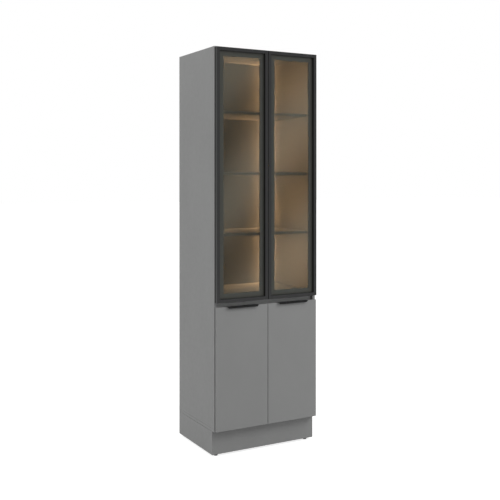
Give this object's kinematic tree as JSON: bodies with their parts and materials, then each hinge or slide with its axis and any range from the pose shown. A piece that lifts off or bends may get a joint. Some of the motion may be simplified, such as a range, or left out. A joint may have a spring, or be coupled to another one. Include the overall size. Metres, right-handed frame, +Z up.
{
  "type": "display cabinet with hinged doors",
  "caption": "Tall narrow cabinet: lit shelves behind tinted glass doors in black metal frames, above a cupboard with grey hinged doors and edge pulls, on a recessed plinth.",
  "frame": {"origin": "on the floor, under the centre of the overall box with the doors closed", "axes": "+Z up, -Y out of the doors, +X to the right of someone facing the doors"},
  "size_m": [0.6, 0.4556, 2.063],
  "materials": {
    "carcass_laminate": "matt grey melamine on board",
    "door_laminate": "matt grey melamine on board",
    "back_laminate": "matt grey laminate on thin board",
    "door_frame": "matt black anodised",
    "tinted_glass": "grey tinted, clear polish",
    "edge_pull": "matt black anodised",
    "light_channel": "satin anodised",
    "led_diffuser": "opal diffuser over a warm white light strip",
    "hinge_steel": "nickel plated",
    "fixings": "zinc plated",
    "leg_plastic": "matt black",
    "bumper": "soft translucent"
  },
  "bodies": {
    "carcass": {"left_side": "carcass_laminate", "right_side": "carcass_laminate", "top_board": "carcass_laminate", "divider_board": "carcass_laminate", "bottom_board": "carcass_laminate", "back_panel": "back_laminate", "recess_rail": "carcass_laminate", "shelf_low": "carcass_laminate", "shelf_middle": "carcass_laminate", "shelf_high": "carcass_laminate", "lower_shelf": "carcass_laminate", "plinth_front": "carcass_laminate", "plinth_back": "carcass_laminate", "plinth_left": "carcass_laminate", "plinth_right": "carcass_laminate", "leg_front_left": "leg_plastic", "leg_front_right": "leg_plastic", "leg_back_left": "leg_plastic", "leg_back_right": "leg_plastic", "led_channel_left": "light_channel", "led_channel_right": "light_channel", "led_diffuser_left": "led_diffuser", "led_diffuser_right": "led_diffuser", "shelf_pins": "fixings", "hinge_screws": "fixings", "door_bumpers": "bumper", "upper_left_hinge_arm_1": "hinge_steel", "upper_left_hinge_arm_2": "hinge_steel", "upper_left_hinge_arm_3": "hinge_steel", "upper_right_hinge_arm_1": "hinge_steel", "upper_right_hinge_arm_2": "hinge_steel", "upper_right_hinge_arm_3": "hinge_steel", "lower_left_hinge_arm_1": "hinge_steel", "lower_left_hinge_arm_2": "hinge_steel", "lower_right_hinge_arm_1": "hinge_steel", "lower_right_hinge_arm_2": "hinge_steel"},
    "upper_left_door": {"upper_left_hinge_stile": "door_frame", "upper_left_meeting_stile": "door_frame", "upper_left_top_rail": "door_frame", "upper_left_bottom_rail": "door_frame", "upper_left_glass": "tinted_glass", "upper_left_hinge_block_1": "hinge_steel", "upper_left_hinge_block_2": "hinge_steel", "upper_left_hinge_block_3": "hinge_steel"},
    "upper_right_door": {"upper_right_hinge_stile": "door_frame", "upper_right_meeting_stile": "door_frame", "upper_right_top_rail": "door_frame", "upper_right_bottom_rail": "door_frame", "upper_right_glass": "tinted_glass", "upper_right_hinge_block_1": "hinge_steel", "upper_right_hinge_block_2": "hinge_steel", "upper_right_hinge_block_3": "hinge_steel"},
    "lower_left_door": {"lower_left_panel": "door_laminate", "lower_left_pull": "edge_pull", "lower_left_hinge_cup_1": "hinge_steel", "lower_left_hinge_cup_2": "hinge_steel"},
    "lower_right_door": {"lower_right_panel": "door_laminate", "lower_right_pull": "edge_pull", "lower_right_hinge_cup_1": "hinge_steel", "lower_right_hinge_cup_2": "hinge_steel"}
  },
  "joints": [
    {"name": "upper_left_door_hinge", "type": "hinge", "parent": "carcass", "child": "upper_left_door", "pos_m": [-0.2914, -0.20875, 1.419], "axis": [0, 0, -1], "range_deg": [0, 100]},
    {"name": "upper_right_door_hinge", "type": "hinge", "parent": "carcass", "child": "upper_right_door", "pos_m": [0.2914, -0.20875, 1.419], "axis": [0, 0, 1], "range_deg": [0, 100]},
    {"name": "lower_left_door_hinge", "type": "hinge", "parent": "carcass", "child": "lower_left_door", "pos_m": [-0.2914, -0.20875, 0.446], "axis": [0, 0, -1], "range_deg": [0, 100]},
    {"name": "lower_right_door_hinge", "type": "hinge", "parent": "carcass", "child": "lower_right_door", "pos_m": [0.2914, -0.20875, 0.446], "axis": [0, 0, 1], "range_deg": [0, 100]}
  ]
}
